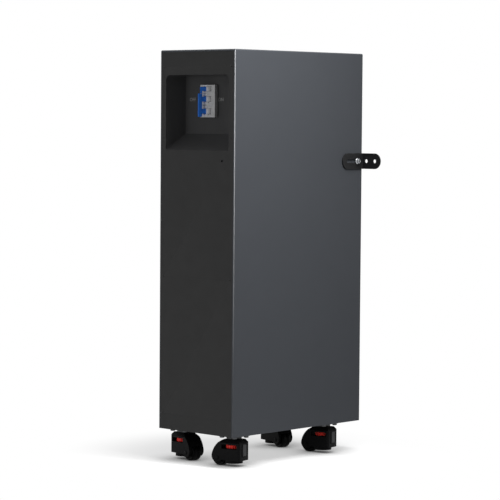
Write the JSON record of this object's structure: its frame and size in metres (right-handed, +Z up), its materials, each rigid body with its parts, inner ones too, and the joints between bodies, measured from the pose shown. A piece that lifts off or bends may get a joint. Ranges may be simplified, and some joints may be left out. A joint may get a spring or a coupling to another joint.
{
  "type": "lithium iron phosphate battery",
  "caption": "Tall slim steel battery cabinet with a recessed breaker in its narrow front, levelling casters under it and slotted angle brackets for a wall.",
  "frame": {"origin": "middle of the footprint, on the floor that the wheels stand on", "axes": "+Z up, +Y to the rear wall, +X to the right seen from the front"},
  "size_m": [0.3422, 0.43, 0.92],
  "materials": {
    "cabinet_paint": "fine matt powder coat, dark grey",
    "panel_paint": "fine matt powder coat, dark grey",
    "base_paint": "matt powder coat",
    "tray_paint": "matt powder coat",
    "black_screws": "black oxide",
    "zinc_screws": "zinc plated",
    "zinc_steel": "zinc plated",
    "breaker_grey": "light grey moulded plastic",
    "toggle_blue": "blue moulded plastic",
    "board_green": "circuit board",
    "button_black": "moulded plastic",
    "insulation": "insulating sheet",
    "busbar_copper": "bare copper bar",
    "plate_aluminium": "mill finish",
    "bms_aluminium": "anodised",
    "cell_film": "aluminium can in blue film",
    "terminal_red": "moulded plastic",
    "terminal_black": "moulded plastic",
    "socket_black": "moulded plastic",
    "bracket_paint": "matt powder coat",
    "caster_plate_black": "black coated steel",
    "caster_black": "glass filled nylon",
    "wheel_nylon": "nylon",
    "thumbwheel_red": "red moulded plastic",
    "foot_rubber": "rubber pad"
  },
  "bodies": {
    "cabinet": {"body_wrap": "cabinet_paint", "front_panel": "panel_paint", "rear_panel": "panel_paint", "base_tray": "base_paint", "recess_tray": "tray_paint", "terminal_bay": "tray_paint", "panel_screws": "black_screws", "caster_screws": "zinc_screws", "breaker_lower_pole": "breaker_grey", "breaker_upper_pole": "breaker_grey", "breaker_aux_module": "breaker_grey", "din_rail": "zinc_steel", "reset_board": "board_green", "cell_separators": "insulation", "cell_busbars": "busbar_copper", "pack_end_plates": "plate_aluminium", "pack_tie_rods": "zinc_steel", "bms_module": "bms_aluminium", "positive_terminal": "terminal_red", "negative_terminal": "terminal_black", "comm_sockets": "socket_black", "bracket_screw_left": "black_screws", "bracket_screw_right": "black_screws", "cells_layer_1": "cell_film", "cells_layer_2": "cell_film", "cells_layer_3": "cell_film", "cells_layer_4": "cell_film", "cells_layer_5": "cell_film", "cells_layer_6": "cell_film", "cells_layer_7": "cell_film", "cells_layer_8": "cell_film", "caster_front_left_plate": "caster_plate_black", "caster_front_right_plate": "caster_plate_black", "caster_rear_left_plate": "caster_plate_black", "caster_rear_right_plate": "caster_plate_black"},
    "breaker_lever": {"breaker_handle": "toggle_blue", "breaker_aux_lever": "toggle_blue"},
    "reset_plunger": {"reset_button": "button_black"},
    "bracket_left": {"wall_bracket_left": "bracket_paint"},
    "bracket_right": {"wall_bracket_right": "bracket_paint"},
    "front_left_swivel": {"caster_front_left_body": "caster_black", "caster_front_left_axle": "zinc_screws"},
    "front_left_wheel": {"caster_front_left_wheel": "wheel_nylon"},
    "front_left_foot": {"caster_front_left_foot": "foot_rubber"},
    "front_left_thumbwheel": {"caster_front_left_thumbwheel": "thumbwheel_red"},
    "front_right_swivel": {"caster_front_right_body": "caster_black", "caster_front_right_axle": "zinc_screws"},
    "front_right_wheel": {"caster_front_right_wheel": "wheel_nylon"},
    "front_right_foot": {"caster_front_right_foot": "foot_rubber"},
    "front_right_thumbwheel": {"caster_front_right_thumbwheel": "thumbwheel_red"},
    "rear_left_swivel": {"caster_rear_left_body": "caster_black", "caster_rear_left_axle": "zinc_screws"},
    "rear_left_wheel": {"caster_rear_left_wheel": "wheel_nylon"},
    "rear_left_foot": {"caster_rear_left_foot": "foot_rubber"},
    "rear_left_thumbwheel": {"caster_rear_left_thumbwheel": "thumbwheel_red"},
    "rear_right_swivel": {"caster_rear_right_body": "caster_black", "caster_rear_right_axle": "zinc_screws"},
    "rear_right_wheel": {"caster_rear_right_wheel": "wheel_nylon"},
    "rear_right_foot": {"caster_rear_right_foot": "foot_rubber"},
    "rear_right_thumbwheel": {"caster_rear_right_thumbwheel": "thumbwheel_red"}
  },
  "joints": [
    {"name": "breaker_handle_swing", "type": "hinge", "parent": "cabinet", "child": "breaker_lever", "pos_m": [0, -0.173, 0.807], "axis": [0, 0, 1], "range_deg": [0, 76]},
    {"name": "reset_button_press", "type": "slide", "parent": "cabinet", "child": "reset_plunger", "axis": [0, 1, 0], "range_m": [0, 0.001], "stiffness_N_per_m": 500, "springref_m": -0.001},
    {"name": "bracket_left_slide", "type": "slide", "parent": "cabinet", "child": "bracket_left", "axis": [0, 1, 0], "range_m": [0, 0.032]},
    {"name": "bracket_right_slide", "type": "slide", "parent": "cabinet", "child": "bracket_right", "axis": [0, 1, 0], "range_m": [0, 0.032]},
    {"name": "front_left_swivel_turn", "type": "hinge", "parent": "cabinet", "child": "front_left_swivel", "pos_m": [-0.077, -0.17, 0.06], "axis": [0, 0, 1], "continuous": true},
    {"name": "front_left_wheel_roll", "type": "hinge", "parent": "front_left_swivel", "child": "front_left_wheel", "pos_m": [-0.04529, -0.17559, 0.018], "axis": [0.1736, 0.9848, 0], "continuous": true},
    {"name": "front_left_foot_slide", "type": "slide", "parent": "front_left_swivel", "child": "front_left_foot", "axis": [0, 0, -1], "range_m": [0, 0.0075]},
    {"name": "front_left_thumbwheel_turn", "type": "hinge", "parent": "front_left_swivel", "child": "front_left_thumbwheel", "pos_m": [-0.077, -0.17, 0.04375], "axis": [0, 0, 1], "range_deg": [0, 1801]},
    {"name": "front_right_swivel_turn", "type": "hinge", "parent": "cabinet", "child": "front_right_swivel", "pos_m": [0.077, -0.17, 0.06], "axis": [0, 0, 1], "continuous": true},
    {"name": "front_right_wheel_roll", "type": "hinge", "parent": "front_right_swivel", "child": "front_right_wheel", "pos_m": [0.04529, -0.17559, 0.018], "axis": [0.1736, -0.9848, 0], "continuous": true},
    {"name": "front_right_foot_slide", "type": "slide", "parent": "front_right_swivel", "child": "front_right_foot", "axis": [0, 0, -1], "range_m": [0, 0.0075]},
    {"name": "front_right_thumbwheel_turn", "type": "hinge", "parent": "front_right_swivel", "child": "front_right_thumbwheel", "pos_m": [0.077, -0.17, 0.04375], "axis": [0, 0, 1], "range_deg": [0, 1801]},
    {"name": "rear_left_swivel_turn", "type": "hinge", "parent": "cabinet", "child": "rear_left_swivel", "pos_m": [-0.077, 0.129, 0.06], "axis": [0, 0, 1], "continuous": true},
    {"name": "rear_left_wheel_roll", "type": "hinge", "parent": "rear_left_swivel", "child": "rear_left_wheel", "pos_m": [-0.04529, 0.12341, 0.018], "axis": [0.1736, 0.9848, 0], "continuous": true},
    {"name": "rear_left_foot_slide", "type": "slide", "parent": "rear_left_swivel", "child": "rear_left_foot", "axis": [0, 0, -1], "range_m": [0, 0.0075]},
    {"name": "rear_left_thumbwheel_turn", "type": "hinge", "parent": "rear_left_swivel", "child": "rear_left_thumbwheel", "pos_m": [-0.077, 0.129, 0.04375], "axis": [0, 0, 1], "range_deg": [0, 1801]},
    {"name": "rear_right_swivel_turn", "type": "hinge", "parent": "cabinet", "child": "rear_right_swivel", "pos_m": [0.077, 0.129, 0.06], "axis": [0, 0, 1], "continuous": true},
    {"name": "rear_right_wheel_roll", "type": "hinge", "parent": "rear_right_swivel", "child": "rear_right_wheel", "pos_m": [0.04529, 0.12341, 0.018], "axis": [0.1736, -0.9848, 0], "continuous": true},
    {"name": "rear_right_foot_slide", "type": "slide", "parent": "rear_right_swivel", "child": "rear_right_foot", "axis": [0, 0, -1], "range_m": [0, 0.0075]},
    {"name": "rear_right_thumbwheel_turn", "type": "hinge", "parent": "rear_right_swivel", "child": "rear_right_thumbwheel", "pos_m": [0.077, 0.129, 0.04375], "axis": [0, 0, 1], "range_deg": [0, 1801]}
  ],
  "couplings": [
    {"joint": "front_left_thumbwheel_turn", "follows": "front_left_foot_slide", "rad_per_m": 4188.8},
    {"joint": "front_right_thumbwheel_turn", "follows": "front_right_foot_slide", "rad_per_m": 4188.8},
    {"joint": "rear_left_thumbwheel_turn", "follows": "rear_left_foot_slide", "rad_per_m": 4188.8},
    {"joint": "rear_right_thumbwheel_turn", "follows": "rear_right_foot_slide", "rad_per_m": 4188.8}
  ]
}
